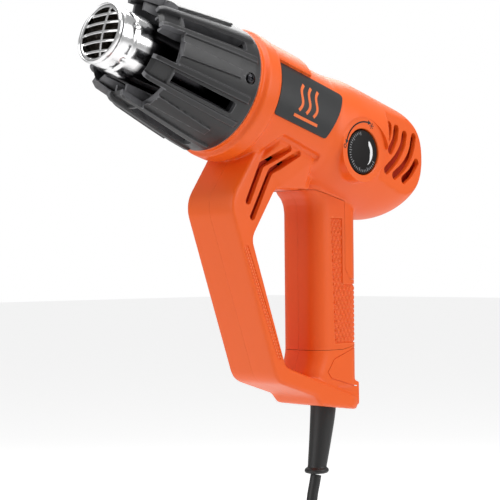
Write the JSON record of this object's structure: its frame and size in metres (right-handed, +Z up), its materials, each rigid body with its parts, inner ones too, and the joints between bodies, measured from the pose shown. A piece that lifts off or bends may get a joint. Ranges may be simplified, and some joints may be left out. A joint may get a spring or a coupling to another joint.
{
  "type": "heat gun",
  "caption": "Hand-held hot-air gun: finned black shroud round a steel outlet, orange two-part housing with closed hand guard, dial, slide switch and coiled mains lead.",
  "frame": {"origin": "centre of the grip, where a hand holds the tool, on the joint plane of the two housing halves", "axes": "+Z up along the grip, the hot-air outlet points to -X and tilts up by 16 degrees, +Y is the tool's right-hand side"},
  "size_m": [0.2621, 0.0828, 0.4954],
  "materials": {
    "orange_shell": "fine satin moulded plastic, light edge wear",
    "orange_grip": "matt moulded plastic with a dotted pad",
    "black_shroud": "fine-grained black heat-resistant plastic",
    "black_plastic": "satin black plastic",
    "black_rubber": "matt black flexible plastic",
    "badge_grey": null,
    "polished_steel": "bright drawn steel",
    "zinc_steel": "zinc-plated steel",
    "mica": "pressed mica sheet",
    "heater_wire": "oxidised resistance wire",
    "circuit_board": "green solder mask",
    "aluminium": "bare aluminium",
    "nylon_white": "natural nylon",
    "copper_wire": "insulated flexible wire"
  },
  "bodies": {
    "housing": {"housing_left": "orange_shell", "housing_right": "orange_shell", "grip_panel_left": "orange_grip", "grip_panel_right": "orange_grip", "badge_left": "badge_grey", "badge_right": "badge_grey", "heat_shroud": "black_shroud", "shroud_mount": "black_plastic", "shroud_screw_left": "zinc_steel", "shroud_screw_right": "zinc_steel", "housing_screw_guard_upper": "zinc_steel", "housing_screw_guard_lower": "zinc_steel", "housing_screw_grip_upper": "zinc_steel", "housing_screw_grip_lower": "zinc_steel", "housing_screw_rear_upper": "zinc_steel", "housing_screw_rear_lower": "zinc_steel", "nozzle_tube": "polished_steel", "outlet_grille": "polished_steel", "mica_sleeve": "mica", "mica_core": "mica", "heating_coil": "heater_wire", "element_holder": "mica", "thermal_cutout": "nylon_white", "air_duct": "black_plastic", "motor_can": "zinc_steel", "motor_bush": "copper_wire", "motor_end_cap": "nylon_white", "rectifier_board": "circuit_board", "motor_mount": "black_plastic", "control_board": "circuit_board", "dial_potentiometer": "zinc_steel", "triac_heat_sink": "aluminium", "mains_switch": "black_plastic", "noise_capacitor": "badge_grey", "strain_relief": "black_rubber", "inner_lead": "black_rubber", "cord_clamp": "black_plastic", "clamp_screw_front": "zinc_steel", "clamp_screw_rear": "zinc_steel", "live_wire": "copper_wire", "neutral_wire": "copper_wire", "mains_lead": "black_rubber", "lead_coil": "black_rubber", "lead_tie": "black_rubber", "plug_body": "black_rubber", "plug_pin_live": "polished_steel", "plug_pin_neutral": "polished_steel"},
    "dial": {"temperature_dial": "black_plastic", "dial_shaft": "nylon_white"},
    "switch": {"switch_slider": "black_plastic"},
    "fan": {"fan_impeller": "black_plastic", "motor_shaft": "polished_steel"}
  },
  "joints": [
    {"name": "dial_turn", "type": "hinge", "parent": "housing", "child": "dial", "pos_m": [0, -0.0355, 0.0835], "axis": [0, 1, 0], "range_deg": [-135, 135]},
    {"name": "switch_slide", "type": "slide", "parent": "housing", "child": "switch", "axis": [0, 0, 1], "range_m": [-0.0045, 0.0045]},
    {"name": "fan_spin", "type": "hinge", "parent": "housing", "child": "fan", "pos_m": [-0.03845, 0, 0.10393], "axis": [0.9613, 0, -0.2756], "continuous": true}
  ]
}
